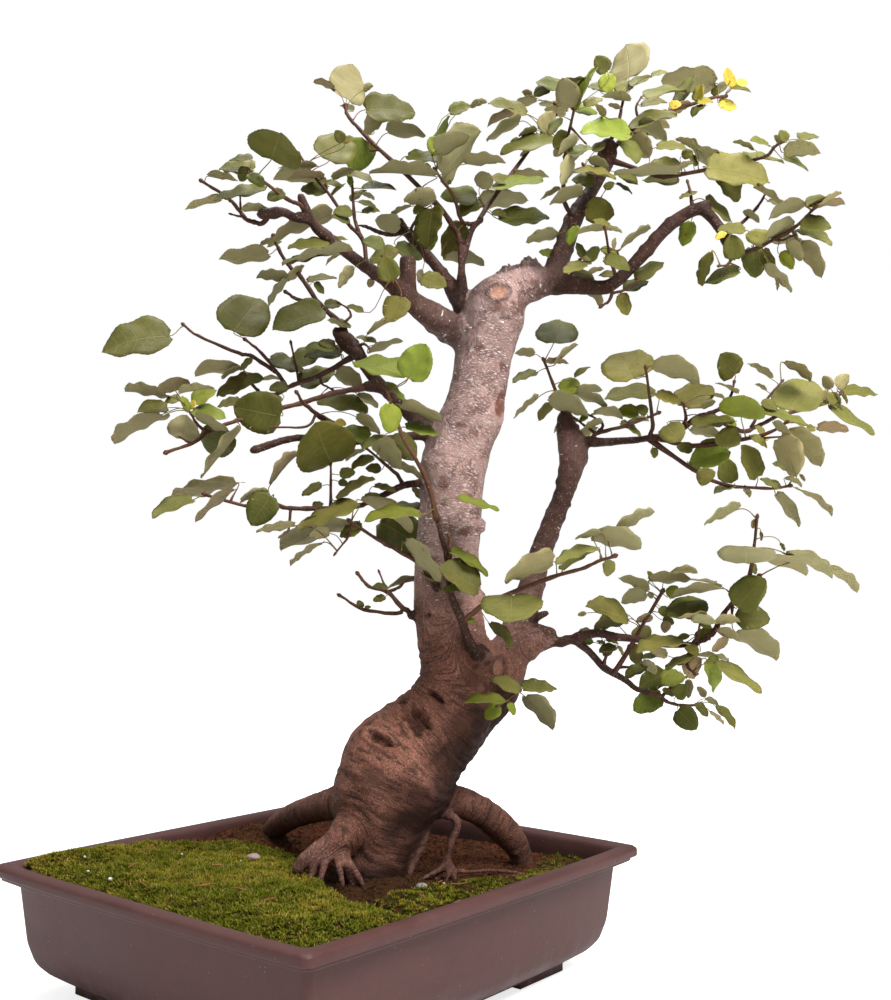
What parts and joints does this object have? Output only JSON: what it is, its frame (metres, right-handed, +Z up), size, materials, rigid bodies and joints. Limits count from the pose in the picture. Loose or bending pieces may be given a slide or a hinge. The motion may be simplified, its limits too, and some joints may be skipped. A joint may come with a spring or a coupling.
{
  "type": "potted bonsai tree",
  "caption": "Italian alder bonsai with a leaning trunk, spread roots and airy leafy twigs, standing in moss-covered soil in a rectangular brown plastic pot.",
  "frame": {"origin": "under the middle of the whole object's box, at the level that the pot's feet stand on", "axes": "+Z up, +X along the pot's 400 mm side, +Y along its 370 mm side"},
  "size_m": [0.5972, 0.6372, 0.8472],
  "materials": {
    "pot": "satin",
    "soil": "matte",
    "moss": "matte",
    "pebble": "matte",
    "bark": "satin",
    "leaf": "satin"
  },
  "bodies": {
    "root": {"pot": "pot", "soil": "soil", "moss_cushion": "moss", "moss_strip": "moss", "pebble_pink": "pebble", "pebble_grey": "pebble", "tree": "bark", "twig_base_shoot": "leaf", "twig_burl_side": "leaf", "twig_burl_up": "leaf", "twig_centre_top": "leaf", "twig_crown_burl": "leaf", "twig_crown_far_right": "leaf", "twig_crown_left": "leaf", "twig_crown_low": "leaf", "twig_crown_right": "leaf", "twig_crown_side": "leaf", "twig_crown_top": "leaf", "twig_elbow": "leaf", "twig_far_left_high": "leaf", "twig_left_cut": "leaf", "twig_left_far": "leaf", "twig_left_high": "leaf", "twig_left_low": "leaf", "twig_left_mid": "leaf", "twig_left_stub": "leaf", "twig_left_top": "leaf", "twig_long_top": "leaf", "twig_low_back": "leaf", "twig_low_front": "leaf", "twig_low_left": "leaf", "twig_low_left_up": "leaf", "twig_low_right_end": "leaf", "twig_low_right_far": "leaf", "twig_low_right_mid": "leaf", "twig_low_right_spur": "leaf", "twig_low_right_stub": "leaf", "twig_low_right_up": "leaf", "twig_mid_top": "leaf", "twig_right_end": "leaf", "twig_right_end_low": "leaf", "twig_right_high": "leaf", "twig_right_tip": "leaf", "twig_right_under": "leaf", "twig_right_up": "leaf", "twig_shoot_fork": "leaf", "twig_shoot_low": "leaf", "twig_shoot_spur": "leaf", "twig_shoot_top": "leaf", "twig_small_left": "leaf", "twig_stem_leaves": "leaf", "twig_stem_limb": "leaf", "twig_stem_low": "leaf", "twig_stem_mid": "leaf", "twig_stem_right": "leaf", "twig_stem_tip": "leaf", "twig_stem_top": "leaf", "twig_stem_up": "leaf", "twig_twin": "leaf"}
  },
  "joints": []
}
